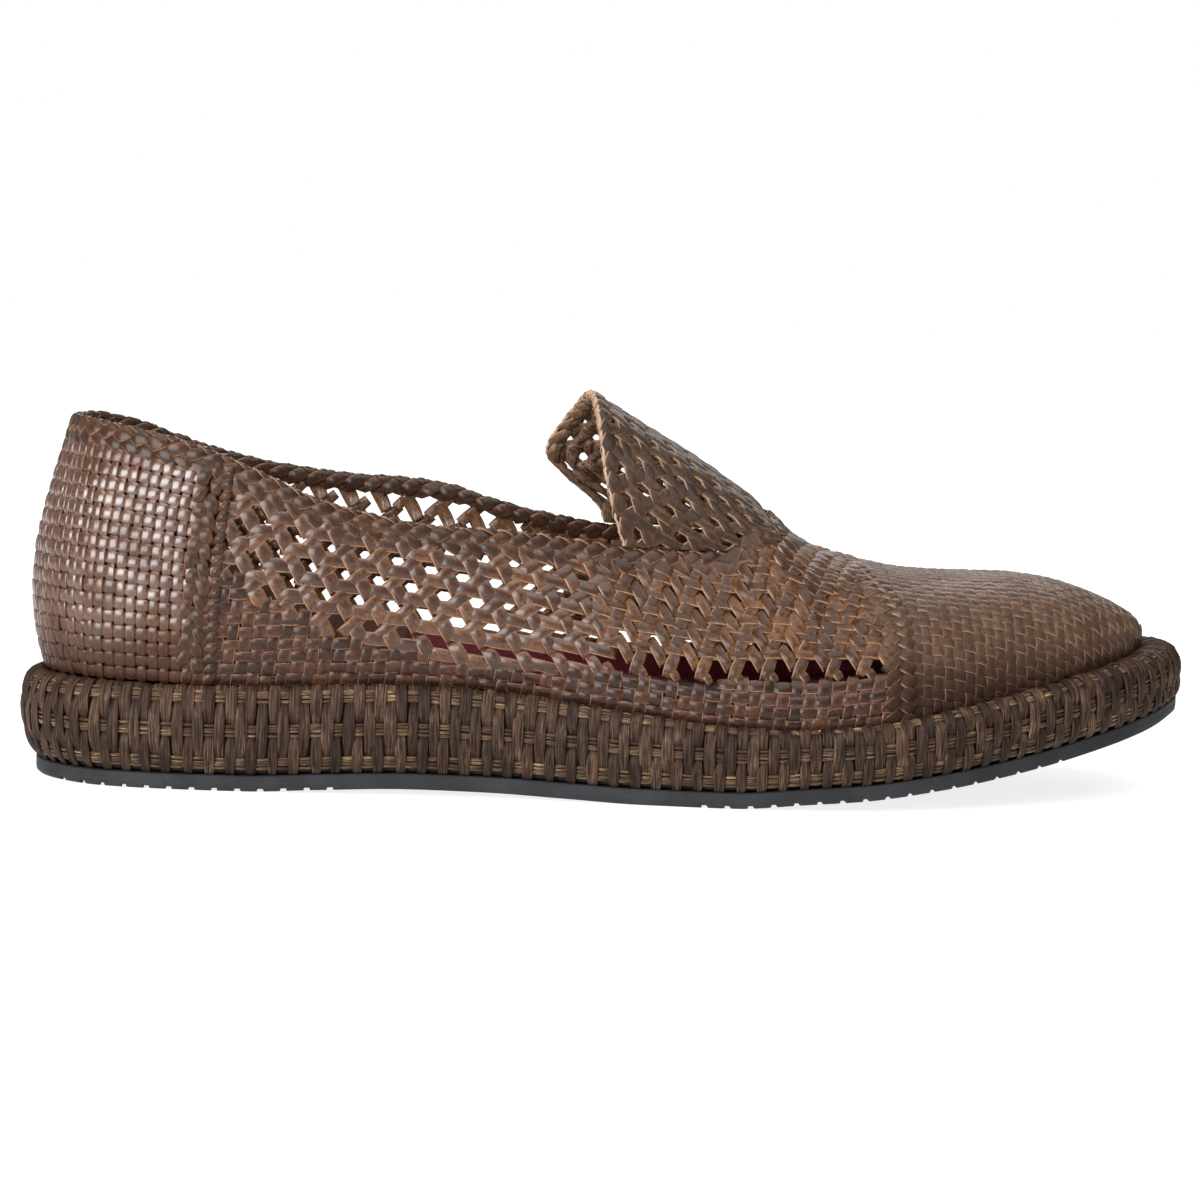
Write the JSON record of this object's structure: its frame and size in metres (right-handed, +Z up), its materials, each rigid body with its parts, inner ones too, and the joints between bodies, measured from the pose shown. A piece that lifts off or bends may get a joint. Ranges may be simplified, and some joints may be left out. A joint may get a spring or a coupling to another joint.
{
  "type": "loafer",
  "caption": "Right-foot slip-on loafer with a plaited strip upper, high flared tongue, fibre-wrapped platform midsole and thin rubber outsole.",
  "frame": {"origin": "on the floor, under the middle of the shoe's length and on the line through the middle of the heel and of the throat", "axes": "+X along the shoe towards the toe, +Y towards the inner (medial) side, +Z up"},
  "size_m": [0.305, 0.1091, 0.1022],
  "materials": {
    "outsole_rubber": "matt dark grey",
    "midsole_raffia": "upright brown plant fibre over tan cane bands",
    "insole_leather": "smooth burgundy",
    "upper_leather": "plaited strips, waxed dark brown faces and raw tan edges",
    "tongue_leather": "plaited strips, matt grey-brown faces and raw tan edges"
  },
  "bodies": {
    "root": {"outsole": "outsole_rubber", "midsole": "midsole_raffia", "insole": "insole_leather", "upper": "upper_leather", "tongue": "tongue_leather"}
  },
  "joints": []
}
